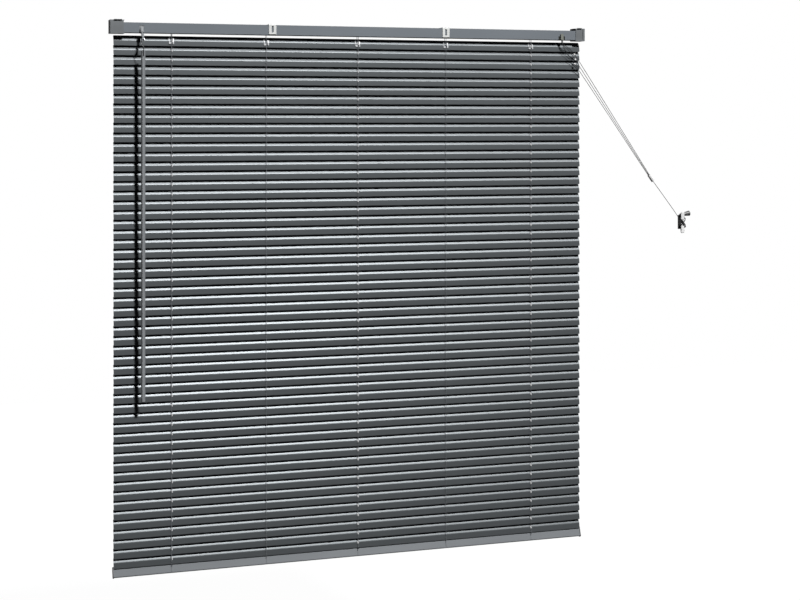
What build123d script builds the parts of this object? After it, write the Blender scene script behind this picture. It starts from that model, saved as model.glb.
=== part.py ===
from build123d import *
import os
from math import cos, pi, radians, sin, tan

# Aluminium venetian blind, lowered and closed. Sizes in mm.
# X runs along the headrail, the room is towards -Y, the wall is the plane Y = 0,
# Z is up and Z = 0 is the level midway between the wall screws.

# Blind
blind_width = 1200.0  # over both box brackets
seat_gap = 0.3  # between a piece and what it rests on or passes
running_gap = 0.05  # radial, of a journal in its bearing
moulding_round = 2.0  # upright corners of the moulded bodies

# Slats
slat_count = 55
slat_pitch = 22.5
slat_end_gap = 9.0  # from a slat's end to the outer face of the box bracket
slat_width = 25.0
slat_gauge = 0.21
slat_crown = 2.0
slat_corner = 2.5
slat_tilt = 70.0  # degrees from level, room edge down
route_hole_length = 3.0  # hole in a slat for a lift cord
route_hole_width = 6.8
top_slat_drop = 17.1  # from the headrail's underside to the middle of the top slat
ladder_count = 5
ladder_inset = 135.0  # of the first and last ladder from the slats' ends

# Headrail, a channel open at the top
rail_depth = 25.0
rail_height = 24.4
rail_gauge = 0.6
rail_lip = 2.2
rail_bend = 1.2
rail_slot_length = 22.0
rail_slot_width = 14.0
rail_end_gap = 3.0  # from its end cap to the bracket
cap_flange = 1.5
cap_plug = 6.0
cap_wall = 2.0

# Box brackets, folded from plate
plate = 1.5
bracket_lengths = {"left": 33.0, "right": 26.0}
bracket_height = 32.0
rail_back_gap = 3.0
bracket_lip = 4.0
gate_gauge = 1.2
gate_setback = 1.8  # of its inner edge from the bracket's end
gate_corner = 4.0
gate_tab = 3.0
gate_play = 0.2
screw_radius = 2.2
wall_screw_spacing = 16.0
top_screw_spacing = 12.0
screw_inset = 14.0  # from the bracket's outer face

# Mid brackets, sheet straps over the headrail
mid_bracket_shifts = (13.0, -3.0)  # from the second ladder, and from the fourth
mid_bracket_width = 18.0
mid_bracket_drop = 24.0  # of its front flap
mid_slot_length = 16.0
mid_slot_width = 5.0

# Tilt mechanism
rod_z = -3.0
rod_flats = 5.0
rod_beyond_tilter = 4.5
rod_beyond_ladder = 14.0  # at the other end
hex_play = 0.05
drum_hub_radius = 7.2
drum_flange_radius = 8.6
drum_flange = 1.2
drum_width = 9.0
journal_radius = 3.8
journal_length = 4.2
cradle_base = 1.4
cradle_wall = 2.0
cradle_wall_depth = 14.0  # at the top of a wall
cradle_foot = 3.0  # height of a wall at its ends
cradle_above = 2.0  # of a wall over the rod's centre
cradle_channel = 9.2  # clear width for the cords that pass under a drum
cradle_side_play = 0.5
tilter_inset = 73.0  # of its middle from the bracket's outer face
tilter_length = 27.0
tilter_top = 8.5
tilter_opening_top = 4.0  # of the opening in the headrail's face
tilter_nose_root = 4.0  # how far the nose reaches back into the body
wheel_room = 1.0  # round the worm wheel
tilter_nose_radius = 4.4
tilter_nose_length = 14.0
wheel_teeth = 10
wheel_radius = 5.2
wheel_root_radius = 4.3
wheel_width = 7.0
tooth_root = 1.6
tooth_flank = 62.0  # degrees
worm_radius = 2.6
worm_length = 10.0
worm_groove = 0.7
worm_turns = 5
worm_end_play = 0.5
stem_radius = 3.0
stem_lean = 43.0  # degrees from upright
stem_exit_z = -4.6  # where its line crosses the headrail's face
stem_eye_run = 33.4  # from there to the eye
stem_tip = 3.1  # beyond the eye
stem_flat = 2.2  # half the width of the flattened tip
stem_flat_length = 5.0  # of the flat before the eye
eye_radius = 1.5

# Wand and hook
hook_wire = 1.8
hook_side = 4.6  # from the eye to the wire beside the stem
hook_front = 6.0  # from the wand's centre to the wire before it
hook_length = 39.0  # from the stem's eye to the wand's hole
hook_bend = 2.5
hook_wide_bend = 4.0
hook_side_run = 9.0  # down beside the stem
hook_cross_run = 10.0  # from there to the front of the wand, in height
wand_corner_radius = 5.0
wand_above_hole = 13.0
wand_length = 814.0
wand_chamfer = 1.2

# Ladders and cords
string = 0.9
string_gap = 0.35  # from a slat's edge to the string beside it
cord = 1.4
cord_spacing = 1.7
cord_floor_gap = 0.3  # under the cords in the headrail
cord_drift_start = 14.0  # from a ladder, where its lift cord starts to change lanes
cord_drift_end = 44.0
cord_rail_bend = 3.0
cord_end_inset = 3.0  # of a lift cord's end from the bottom rail's upper edge
cord_tail = 0.5
ladder_spread = 3.5  # below the headrail, where a ladder's strings part for the drum
ladder_tail = 1.5  # of the wall-side string above the bottom rail's upper edge
clip_width = 12.0
clip_height = 17.0
clip_gauge = 1.2
clip_bar = 2.8

# Cord lock
lock_inset = 62.5  # of its middle from the bracket's outer face
lock_length = 26.0
lock_top = 6.0
lock_notch_width = 18.0
lock_notch_top = -4.5
lock_nose_width = 8.0
lock_nose_top = 1.0
lock_nose_reach = 4.0
lock_wall = 1.0
lock_throat = 5.8
roller_radius = 2.2
roller_length = 7.4
roller_setback = 5.0  # behind the headrail's face
roller_lift = 3.0
roller_chamfer = 0.4

# Bottom rail
bottom_width = 23.5
bottom_thickness = 9.0
bottom_wall = 0.8
bottom_round = 2.4
bottom_drop = 21.7  # from the middle of the lowest slat to its own
bottom_cap = 2.0
bottom_cap_rim = 1.2
bottom_cap_plug = 5.0
bottom_overhang = 1.5  # of the rail with its caps beyond the slats
plug_radius = 6.0
plug_head = 1.6
plug_stem_radius = 3.0
plug_stem_length = 4.0
plug_round = 0.8

# Cleat on the wall, winding and tassel
cleat_x = 887.0
cleat_z = -484.5
cleat_width = 10.0
cleat_length = 55.0
cleat_base = 4.0
cleat_base_length = 36.0
cleat_neck_length = 24.0
cleat_horn_back = 13.0
cleat_depth = 19.5
cleat_tip = 4.0
cleat_screw_radius = 1.8
cleat_screw_spacing = 14.0
cleat_tip_round = 1.8
cleat_edge_round = 2.0
winding_width = 18.0
winding_waist = 14.6
winding_height = 32.0
winding_cover = 3.0  # in front of the horns
tassel_length = 28.0
tassel_small = 3.0
tassel_large = 7.0
tassel_round = 1.2
tassel_start = 3.0  # of its small end before the cleat's middle
tassel_from_wall = 8.2
connector_length = 20.0
connector_radius = 3.6
connector_mouth = 3.1
mouth_depth = 4.0  # of the cord sockets in the connector and the tassel
mouth_entry = 3.0  # how far a cord reaches into its socket
bead_radius = 2.2
bead_length = 4.5
bead_places = {1: 72.2, 2: 49.8, 3: 60.6}  # along each pull cord, from the lock

# Places that follow from the sizes above
half_width = blind_width / 2
slat_length = blind_width - 2 * slat_end_gap
ladder_spacing = (slat_length - 2 * ladder_inset) / (ladder_count - 1)
ladder_places = [(number - (ladder_count - 1) / 2) * ladder_spacing for number in range(ladder_count)]
mid_bracket_places = (ladder_places[1] + mid_bracket_shifts[0], ladder_places[-2] + mid_bracket_shifts[1])
tilter_x = tilter_inset - half_width
lock_x = half_width - lock_inset
rod_left = tilter_x - tilter_length / 2 - rod_beyond_tilter
rod_right = ladder_places[-1] + rod_beyond_ladder
half_slat = slat_width / 2
bracket_half = bracket_height / 2
rail_y = -(plate + rail_back_gap + rail_depth / 2)
rail_front = rail_y - rail_depth / 2
rail_bottom = -bracket_half + plate + seat_gap
rail_top = rail_bottom + rail_height
rail_floor = rail_bottom + rail_gauge
rail_inner = rail_depth - 2 * rail_gauge
rail_half = half_width - plate - rail_end_gap - cap_flange
gate_back = rail_front - seat_gap
lip_back = gate_back - gate_gauge - gate_play
bracket_depth = plate - lip_back
lean = radians(slat_tilt)
top_slat_z = rail_bottom - top_slat_drop
slat_levels = [top_slat_z - number * slat_pitch for number in range(slat_count)]
bottom_z = slat_levels[-1] - bottom_drop
slat_front_reach = half_slat * cos(lean) + slat_gauge
string_reach = slat_front_reach + string_gap + string / 2
drum_string_reach = drum_hub_radius + 0.75 * string + seat_gap
lift_y = rail_y - slat_crown * sin(lean)
cord_z = rail_floor + cord_floor_gap + cord / 2
half_lock = lock_length / 2
cord_beside_ladder = string / 2 + cord / 2 + seat_gap
lift_places = [x + cord_beside_ladder for x in ladder_places[::2]]


def section_point(along, out, centre):
    """Point of the YZ section, from a centre: along towards the room edge, out from the crown."""
    y = centre[0] - along * cos(lean) - out * sin(lean)
    z = centre[1] - along * sin(lean) + out * cos(lean)
    return y, z


def section_plane(centre, x=0.0):
    """Plane of the tilted section: its X is towards the wall edge, its Y out from the crown."""
    return Plane(origin=(x, *centre), x_dir=(0, cos(lean), sin(lean)), z_dir=(1, 0, 0))


def face_plane(centre, x=0.0):
    """Plane of the tilted slat itself, seen from the crown."""
    return Plane(origin=(x, *centre), x_dir=(1, 0, 0), z_dir=(0, -sin(lean), cos(lean)))


def block(x, y, z, mode=Mode.ADD):
    """Rectangular block between pairs of limits."""
    with Locations(((x[0] + x[1]) / 2, (y[0] + y[1]) / 2, (z[0] + z[1]) / 2)):
        Box(x[1] - x[0], y[1] - y[0], z[1] - z[0], mode=mode)


def finish(part, label):
    """Label a finished piece and write it."""
    part.label = label
    export_step(part, f"parts/{label}.step")


def mirrored(part):
    """The same piece for the other end."""
    with BuildPart() as other:
        add(part)
        mirror(about=Plane.YZ, mode=Mode.REPLACE)
    return other.part


def placed(part, *places):
    """Copies of a piece at the given places, in one node."""
    with BuildPart() as copies:
        with Locations(*places):
            add(part)
    return copies.part


def tube_radii(points, largest=None):
    """Arc radius at each corner of a cord's route."""
    radii = []
    for before, corner, after in zip(points, points[1:], points[2:]):
        run_in = Vector(*corner) - Vector(*before)
        run_out = Vector(*after) - Vector(*corner)
        turn = radians(run_in.get_angle(run_out))
        radius = 0.45 * min(run_in.length, run_out.length) / tan(turn / 2)
        radii.append(min(radius, largest) if largest else radius)
    return radii


def cord_tube(label, points, diameter=cord, largest=None):
    """Round tube along straight runs joined by tangent arcs. Gives the line that it follows."""
    radii = tube_radii(points, largest)
    with BuildPart() as tube:
        with BuildLine() as route:
            FilletPolyline(*points, radius=radii)
        path = route.wires()[0]
        with BuildSketch(Plane(origin=path @ 0, z_dir=path % 0)):
            Circle(diameter / 2)
        sweep(path=path, transition=Transition.ROUND)
    expected = pi * diameter**2 / 4 * path.length
    rounded = ", ".join(f"{radius:.1f}" for radius in radii)
    ratio = tube.part.volume / expected
    print(f"{label}: length {path.length:.1f}, volume ratio {ratio:.4f}, radii {rounded}")
    finish(tube.part, label)
    return path


os.makedirs("parts", exist_ok=True)

# Headrail: folded channel with curled lips, slots for the ladders, openings for the tilter and the lock
with BuildPart() as headrail:
    with BuildSketch(Plane.YZ.offset(-rail_half)) as rail_section:
        with Locations((rail_y, (rail_top + rail_bottom) / 2)):
            Rectangle(rail_depth, rail_height)
        fillet(rail_section.vertices().group_by(Axis.Y)[0], rail_bend)
        with Locations((rail_y, (rail_top + rail_floor) / 2)):
            Rectangle(rail_inner, rail_top - rail_floor, mode=Mode.SUBTRACT)
        for side in (-1, 1):
            with Locations((rail_y + side * (rail_depth - rail_lip) / 2, rail_top - rail_gauge / 2)):
                Rectangle(rail_lip, rail_gauge)
            curl_y = rail_y + side * (rail_depth / 2 - rail_lip + rail_gauge / 2)
            with Locations((curl_y, rail_top - rail_gauge)):
                Rectangle(rail_gauge, 2 * rail_gauge)
    extrude(amount=2 * rail_half)
    with BuildSketch(Plane.XY.offset(rail_bottom)):
        with Locations(*[(x, rail_y) for x in ladder_places]):
            RectangleRounded(rail_slot_length, rail_slot_width, 3)
    extrude(amount=rail_gauge, both=True, mode=Mode.SUBTRACT)
    nose_room = tilter_nose_radius + wheel_room
    opening_depth = (rail_front - 1, rail_front + 2 * rail_lip)
    opening_x = (tilter_x - nose_room, tilter_x + nose_room)
    block(opening_x, opening_depth, (rail_bottom - 1, tilter_opening_top), mode=Mode.SUBTRACT)
    notch_x = (lock_x - lock_notch_width / 2, lock_x + lock_notch_width / 2)
    block(notch_x, opening_depth, (rail_bottom - 1, lock_notch_top), mode=Mode.SUBTRACT)
finish(headrail.part, "headrail")

# End caps of the headrail: a flange and a hollow plug
with BuildPart() as rail_cap:
    with BuildSketch(Plane.YZ.offset(-rail_half)) as cap_face:
        with Locations((rail_y, (rail_top + rail_bottom) / 2)):
            Rectangle(rail_depth, rail_height)
        fillet(cap_face.vertices(), rail_bend)
    extrude(amount=-cap_flange)
    plug_depth = rail_inner - 2 * gate_play
    plug_top = rail_top - 2 * rail_gauge - gate_play
    with BuildSketch(Plane.YZ.offset(-rail_half)):
        with Locations((rail_y, (plug_top + rail_floor + gate_play) / 2)):
            Rectangle(plug_depth, plug_top - rail_floor - gate_play)
            hollow_height = plug_top - rail_floor - gate_play - 2 * cap_wall
            Rectangle(plug_depth - 2 * cap_wall, hollow_height, mode=Mode.SUBTRACT)
    extrude(amount=cap_plug)
finish(rail_cap.part, "headrail_cap_left")
finish(mirrored(rail_cap.part), "headrail_cap_right")

# Box bracket: back, top and floor from one strip, an outer end and the lips that hold the gate
for name, bracket_length in bracket_lengths.items():
    with BuildPart() as box_bracket:
        with BuildSketch(Plane.YZ.offset(-half_width)) as strip:
            with Locations((-bracket_depth / 2, 0)):
                Rectangle(bracket_depth, bracket_height)
            fillet(strip.vertices().group_by(Axis.X)[-1], plate)
            with Locations((-plate - bracket_depth / 2, 0)):
                Rectangle(bracket_depth, bracket_height - 2 * plate, mode=Mode.SUBTRACT)
            top_front = gate_back + gate_play
            with Locations(((top_front - bracket_depth) / 2, bracket_half - plate / 2)):
                Rectangle(bracket_depth + top_front, plate, mode=Mode.SUBTRACT)
            with Locations((-bracket_depth + plate / 2, -bracket_half + bracket_lip / 2)):
                Rectangle(plate, bracket_lip)
        extrude(amount=bracket_length)
        with BuildSketch(Plane.YZ.offset(-half_width)) as end_plate:
            with Locations((-bracket_depth / 2, 0)):
                Rectangle(bracket_depth, bracket_height)
            fillet(end_plate.vertices(), plate)
        extrude(amount=plate)
        block(
            (-half_width, -half_width + bracket_lip + 1),
            (-bracket_depth, -bracket_depth + plate),
            (-bracket_half + plate, bracket_half - plate),
        )
        screw_x = -half_width + screw_inset
        with BuildSketch(Plane.XZ):
            with Locations(*[(screw_x, side * wall_screw_spacing / 2) for side in (-1, 1)]):
                Circle(screw_radius)
        extrude(amount=plate, both=True, mode=Mode.SUBTRACT)
        with BuildSketch(Plane.XY.offset(bracket_half)):
            with Locations(*[(screw_x, rail_y + side * top_screw_spacing / 2) for side in (-1, 1)]):
                Circle(screw_radius)
        extrude(amount=plate, both=True, mode=Mode.SUBTRACT)
        with BuildSketch(Plane.YZ.offset(-half_width)):
            with Locations(*[(rail_y + side * top_screw_spacing / 2, 0) for side in (-1, 1)]):
                Circle(screw_radius)
        extrude(amount=plate, both=True, mode=Mode.SUBTRACT)
    bracket_part = box_bracket.part if name == "left" else mirrored(box_bracket.part)
    finish(bracket_part, f"box_bracket_{name}")

# Gate: slides down behind the bracket's lips, with a thumb tab bent forward at its top
gate_bottom = -bracket_half + plate
gate_left = -half_width + plate + gate_play
for name, bracket_length in bracket_lengths.items():
    gate_width = bracket_length - plate - gate_play - gate_setback
    with BuildPart() as gate:
        with BuildSketch(Plane.XZ.offset(-gate_back)) as gate_face:
            with Locations((gate_left + gate_width / 2, (bracket_half + gate_bottom) / 2)):
                Rectangle(gate_width, bracket_half - gate_bottom)
            fillet(gate_face.vertices().group_by(Axis.X)[-1], gate_corner)
        extrude(amount=gate_gauge)
        tab_x = (gate_left + bracket_lip + 3, gate_left + gate_width - gate_corner)
        tab_y = (gate_back - gate_gauge - gate_tab, gate_back)
        block(tab_x, tab_y, (bracket_half, bracket_half + gate_gauge))
        block(tab_x, (gate_back - gate_gauge, gate_back), (bracket_half - gate_gauge, bracket_half))
    gate_part = gate.part if name == "left" else mirrored(gate.part)
    finish(gate_part, f"bracket_gate_{name}")

# Mid brackets: a strap from the wall over the headrail, with a slotted flap in front
strap_under = rail_top + seat_gap
strap_front = rail_front - seat_gap - plate
strap_top = strap_under + plate
for name, place in zip(("left", "right"), mid_bracket_places):
    with BuildPart() as mid_bracket:
        with BuildSketch(Plane.YZ.offset(place - mid_bracket_width / 2)) as strap:
            with Locations((strap_front / 2, strap_top - mid_bracket_drop / 2)):
                Rectangle(-strap_front, mid_bracket_drop)
            fillet(strap.vertices().group_by(Axis.Y)[-1], plate)
            with Locations((strap_front / 2, strap_under - mid_bracket_drop / 2)):
                Rectangle(-strap_front - 2 * plate, mid_bracket_drop, mode=Mode.SUBTRACT)
        extrude(amount=mid_bracket_width)
        with BuildSketch(Plane.XZ.offset(-strap_front)):
            with Locations((place, strap_top - mid_bracket_drop / 2)):
                SlotOverall(mid_slot_length, mid_slot_width, rotation=90)
        extrude(amount=-1.5 * plate, mode=Mode.SUBTRACT)
        with BuildSketch(Plane.XZ):
            with Locations(*[(place, side * top_screw_spacing / 2) for side in (-1, 1)]):
                Circle(screw_radius)
        extrude(amount=plate, both=True, mode=Mode.SUBTRACT)
    finish(mid_bracket.part, f"mid_bracket_{name}")

# Tilt rod: hexagonal bar through the tilter and all the drums
rod_radius = rod_flats / 2 / cos(radians(30))
with BuildPart() as tilt_rod:
    with BuildSketch(Plane.YZ.offset(rod_left)):
        with Locations((rail_y, rod_z)):
            RegularPolygon(rod_radius, 6)
    extrude(amount=rod_right - rod_left)
    chamfer(tilt_rod.faces().sort_by(Axis.X)[0].edges(), 0.5)
finish(tilt_rod.part, "tilt_rod")

# Drums: flanged spools with journals, which carry the ladders' strings
bore_radius = (rod_flats / 2 + hex_play) / cos(radians(30))
journal_half = drum_width / 2 + journal_length
with BuildPart() as drum:
    with BuildSketch(Plane.XY) as drum_profile:
        with BuildLine():
            Polyline(
                (-journal_half, 0),
                (-journal_half, journal_radius),
                (-drum_width / 2, journal_radius),
                (-drum_width / 2, drum_flange_radius),
                (-drum_width / 2 + drum_flange, drum_flange_radius),
                (-drum_width / 2 + drum_flange, drum_hub_radius),
                (drum_width / 2 - drum_flange, drum_hub_radius),
                (drum_width / 2 - drum_flange, drum_flange_radius),
                (drum_width / 2, drum_flange_radius),
                (drum_width / 2, journal_radius),
                (journal_half, journal_radius),
                (journal_half, 0),
                close=True,
            )
        make_face()
    revolve(axis=Axis.X)
    with BuildSketch(Plane.YZ):
        RegularPolygon(bore_radius, 6)
    extrude(amount=journal_half + 1, both=True, mode=Mode.SUBTRACT)
for number, x in enumerate(ladder_places, 1):
    finish(placed(drum.part, (x, rail_y, rod_z)), f"tilt_drum_{number}")

# Cradles: open bearings snapped on the headrail's floor
wall_inner = drum_width / 2 + cradle_side_play
cradle_half = wall_inner + cradle_wall
bearing = journal_radius + running_gap
cradle_top = rod_z + cradle_above
with BuildPart() as cradle:
    cradle_y = (rail_y - rail_inner / 2, rail_y + rail_inner / 2)
    block((-cradle_half, cradle_half), cradle_y, (rail_floor, rail_floor + cradle_base))
    for side in (-1, 1):
        with BuildSketch(Plane.YZ.offset(side * (wall_inner + cradle_wall / 2))) as cradle_side:
            with BuildLine():
                Polyline(
                    (cradle_y[0], rail_floor),
                    (cradle_y[1], rail_floor),
                    (cradle_y[1], rail_floor + cradle_foot),
                    (rail_y + cradle_wall_depth / 2, cradle_top),
                    (rail_y - cradle_wall_depth / 2, cradle_top),
                    (cradle_y[0], rail_floor + cradle_foot),
                    close=True,
                )
            make_face()
        extrude(amount=cradle_wall / 2, both=True)
    with BuildSketch(Plane.YZ):
        with Locations((rail_y, rod_z)):
            Circle(bearing)
        with Locations((rail_y, rod_z + bearing)):
            Rectangle(2 * bearing, 2 * bearing)
    extrude(amount=cradle_half + 1, both=True, mode=Mode.SUBTRACT)
    channel = (lift_y - cradle_channel / 2, lift_y + cradle_channel / 2)
    channel_top = cord_z + cord / 2 + seat_gap
    block((-cradle_half - 1, cradle_half + 1), channel, (rail_floor - 1, channel_top), mode=Mode.SUBTRACT)
    window_half = drum_string_reach + string / 2
    window_y = (rail_y - window_half, rail_y + window_half)
    window_z = (rail_floor - 1, rail_floor + cradle_foot)
    block((-wall_inner, wall_inner), window_y, window_z, mode=Mode.SUBTRACT)
for number, x in enumerate(ladder_places, 1):
    finish(placed(cradle.part, (x, 0, 0)), f"drum_cradle_{number}")

# Tilter: a moulded housing whose nose carries the worm's stem out of the headrail's face
stem_sin = sin(radians(stem_lean))
stem_cos = cos(radians(stem_lean))


def stem_point(run):
    """Point on the stem's line, run mm beyond the headrail's face."""
    return tilter_x, rail_front - run * stem_sin, stem_exit_z - run * stem_cos


def stem_plane(run):
    """Plane across the stem, facing its tip."""
    return Plane(origin=stem_point(run), x_dir=(1, 0, 0), z_dir=(0, -stem_sin, -stem_cos))


worm_centre = -((rail_depth / 2) * stem_sin + (rod_z - stem_exit_z) * stem_cos)
worm_start = worm_centre - worm_length / 2
worm_end = worm_centre + worm_length / 2
with BuildPart() as tilter_housing:
    housing_x = (tilter_x - tilter_length / 2, tilter_x + tilter_length / 2)
    housing_y = (rail_y - rail_inner / 2 + gate_play, rail_y + rail_inner / 2 - gate_play)
    block(housing_x, housing_y, (rail_floor, tilter_top))
    fillet(tilter_housing.edges().filter_by(Axis.Z), moulding_round)
    with BuildSketch(stem_plane(-tilter_nose_root)):
        Circle(tilter_nose_radius)
    extrude(amount=tilter_nose_root + tilter_nose_length)
    with BuildSketch(Plane.YZ.offset(tilter_x)):
        with Locations((rail_y, rod_z)):
            Circle(wheel_radius + wheel_room)
    extrude(amount=wheel_width / 2 + cradle_side_play, both=True, mode=Mode.SUBTRACT)
    with BuildSketch(Plane.YZ.offset(tilter_x)):
        with Locations((rail_y, rod_z)):
            Circle(rod_radius + gate_play)
    extrude(amount=tilter_length, both=True, mode=Mode.SUBTRACT)
    with BuildSketch(stem_plane(worm_start - worm_end_play)):
        Circle(stem_radius + running_gap)
    extrude(amount=tilter_nose_length - worm_start + 2, mode=Mode.SUBTRACT)
finish(tilter_housing.part, "tilter_housing")

# Worm wheel on the tilt rod
with BuildPart() as worm_wheel:
    with BuildSketch(Plane.YZ.offset(tilter_x - wheel_width / 2)):
        with Locations((rail_y, rod_z)):
            Circle(wheel_root_radius)
            with PolarLocations(wheel_root_radius, wheel_teeth):
                Trapezoid(2 * (wheel_radius - wheel_root_radius), tooth_root, tooth_flank, rotation=-90)
            RegularPolygon(bore_radius, 6, mode=Mode.SUBTRACT)
    extrude(amount=wheel_width)
finish(worm_wheel.part, "worm_wheel")

# Worm and stem in one piece, flattened and pierced at the tip for the hook
with BuildPart() as tilter_stem:
    with BuildSketch(stem_plane(worm_end)):
        Circle(stem_radius)
    extrude(amount=stem_eye_run + stem_tip - worm_end)
    with BuildSketch(stem_plane(worm_start)):
        Circle(worm_radius - worm_groove)
    extrude(amount=worm_length)
    for turn in range(worm_turns):
        with BuildSketch(stem_plane(worm_start + worm_length * (turn + 0.25) / worm_turns)):
            Circle(worm_radius)
        extrude(amount=worm_length / 2 / worm_turns)
    eye_z = stem_point(stem_eye_run)
    for side in (-1, 1):
        with BuildSketch(stem_plane(stem_eye_run - stem_flat_length)):
            with Locations((side * (stem_flat + stem_radius), 0)):
                Rectangle(2 * stem_radius, 3 * stem_radius)
        extrude(amount=2 * stem_eye_run, mode=Mode.SUBTRACT)
    with BuildSketch(Plane.YZ.offset(tilter_x)):
        with Locations((eye_z[1], eye_z[2])):
            Circle(eye_radius)
    extrude(amount=2 * stem_radius, both=True, mode=Mode.SUBTRACT)
finish(tilter_stem.part, "tilter_stem")

# Wire hook: through the stem's eye, then down the front of the wand and back through its hole
eye = Vector(*stem_point(stem_eye_run))
hook_points = (
    eye + Vector(hook_side, 0, 0),
    eye + Vector(-hook_side, 0, 0),
    eye + Vector(-hook_side, 0, -hook_side_run),
    eye + Vector(0, -hook_front, -hook_side_run - hook_cross_run),
    eye + Vector(0, -hook_front, -hook_length),
    eye + Vector(0, hook_front, -hook_length),
)
with BuildPart() as wand_hook:
    with BuildLine() as hook_route:
        FilletPolyline(*hook_points, radius=(hook_bend, hook_wide_bend, hook_wide_bend, hook_bend))
    with BuildSketch(Plane(origin=hook_points[0], z_dir=(-1, 0, 0))):
        Circle(hook_wire / 2)
    sweep(transition=Transition.ROUND)
finish(wand_hook.part, "wand_hook")

# Wand: a hexagonal rod with a hole near its top
wand_hole = eye - Vector(0, 0, hook_length)
with BuildPart() as wand:
    with BuildSketch(Plane.XY.offset(wand_hole.Z + wand_above_hole - wand_length)):
        with Locations((wand_hole.X, wand_hole.Y)):
            RegularPolygon(wand_corner_radius, 6)
    extrude(amount=wand_length)
    chamfer(wand.faces().filter_by(Axis.Z).edges(), wand_chamfer)
    with BuildSketch(Plane.XZ.offset(-wand_hole.Y)):
        with Locations((wand_hole.X, wand_hole.Z)):
            Circle(eye_radius)
    extrude(amount=2 * wand_corner_radius, both=True, mode=Mode.SUBTRACT)
finish(wand.part, "wand")

# One slat: an arched strip with clipped corners and a hole at each lift cord
with BuildPart() as slat:
    with BuildSketch(section_plane((rail_y, 0), -slat_length / 2)):
        with BuildLine():
            crown_arc = ThreePointArc((-half_slat, 0), (0, slat_crown), (half_slat, 0))
            under_arc = ThreePointArc(
                (-half_slat, -slat_gauge), (0, slat_crown - slat_gauge), (half_slat, -slat_gauge)
            )
            Line(crown_arc @ 0, under_arc @ 0)
            Line(crown_arc @ 1, under_arc @ 1)
        make_face()
    extrude(amount=slat_length)
    with BuildSketch(face_plane((rail_y, 0))) as outline:
        margin = 1.0
        Rectangle(slat_length + margin, slat_width + margin)
        chamfer(outline.vertices(), slat_corner + margin)
    extrude(amount=2 * slat_crown, both=True, mode=Mode.INTERSECT)
    with BuildSketch(face_plane((rail_y, 0))):
        with Locations(*[(x, 0) for x in lift_places]):
            Rectangle(route_hole_length, route_hole_width)
    extrude(amount=2 * slat_crown, both=True, mode=Mode.SUBTRACT)

# All the slats, in their ladders
with BuildPart() as slats:
    with Locations(*[(0, 0, z) for z in slat_levels]):
        add(slat.part)
finish(slats.part, "slats")

# One ladder: two strings, the spread to the drum, a rung under each slat and the ends round the bottom rail
ladder_top = rod_z
spread_z = rail_bottom - ladder_spread
bottom_centre = (rail_y, bottom_z)
half_bottom = bottom_thickness / 2
wrap_out = half_bottom + seat_gap + string / 2
front_y = rail_y - string_reach
back_y = rail_y + string_reach
wrap_start = (rail_y - front_y - wrap_out * sin(lean)) / cos(lean)
front_end = section_point(wrap_start, wrap_out, bottom_centre)
front_tip = section_point(bottom_width / 2 - bottom_round, wrap_out, bottom_centre)
back_end_z = section_point(-bottom_width / 2, 0, bottom_centre)[1] + ladder_tail


def bar_plane(start, end):
    """Plane across a string in the YZ section that runs from start to end."""
    return Plane(origin=(0, *start), x_dir=(1, 0, 0), z_dir=(0, end[0] - start[0], end[1] - start[1]))


def bars(*ends):
    """Square strings in the YZ section, all as long as the first, each from a start to an end."""
    start, end = ends[0]
    length = Vector(0, end[0] - start[0], end[1] - start[1]).length
    with Locations(*[bar_plane(start, end) for start, end in ends]):
        Box(string, string, length, align=(Align.CENTER, Align.CENTER, Align.MIN))


rung_out = -slat_gauge - seat_gap - string / 2
rung_ends = []
for level in slat_levels:
    rung = [
        section_point((side * string_reach - rung_out * sin(lean)) / cos(lean), rung_out, (rail_y, level))
        for side in (1, -1)
    ]
    rung_ends.append(rung)
with BuildPart() as ladder:
    bars(((front_y, spread_z), front_end))
    bars((front_end, front_tip))
    bars(((back_y, spread_z), (back_y, back_end_z)))
    bars(((front_y, spread_z), (rail_y - drum_string_reach, ladder_top)))
    bars(((back_y, spread_z), (rail_y + drum_string_reach, ladder_top)))
    bars(*rung_ends)
for number, x in enumerate(ladder_places, 1):
    finish(placed(ladder.part, (x, 0, 0)), f"ladder_{number}")

# Clips that hook the top slat to each ladder
clip_arc_gap = seat_gap + slat_gauge
with BuildPart() as slat_clip:
    with BuildSketch(section_plane((rail_y, top_slat_z), -clip_width)):
        with BuildLine():
            outer = ThreePointArc(
                (-half_slat, clip_arc_gap + clip_gauge),
                (0, slat_crown + clip_arc_gap + clip_gauge),
                (half_slat, clip_arc_gap + clip_gauge),
            )
            inner = ThreePointArc(
                (-half_slat, clip_arc_gap), (0, slat_crown + clip_arc_gap), (half_slat, clip_arc_gap)
            )
            Line(outer @ 0, inner @ 0)
            Line(outer @ 1, inner @ 1)
        make_face()
    extrude(amount=2 * clip_width)
    with BuildSketch(face_plane((rail_y, top_slat_z))):
        with Locations((0, clip_height / 2 - clip_bar / 2)):
            Rectangle(clip_width, clip_bar)
        with Locations((clip_width / 2 - clip_bar / 2, 0)):
            Rectangle(clip_bar, clip_height)
        with Locations((-clip_width / 2 + clip_bar / 4, 0)):
            Rectangle(clip_bar / 2, clip_height)
        foot_width = clip_width / 2 - string / 2 - seat_gap
        with Locations((-clip_width / 2 + foot_width / 2, -clip_height / 2 + 0.8 * clip_bar)):
            Rectangle(foot_width, 1.6 * clip_bar)
    extrude(amount=3 * slat_crown, mode=Mode.INTERSECT)
for number, x in enumerate(ladder_places, 1):
    finish(placed(slat_clip.part, (x, 0, 0)), f"slat_clip_{number}")

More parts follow.
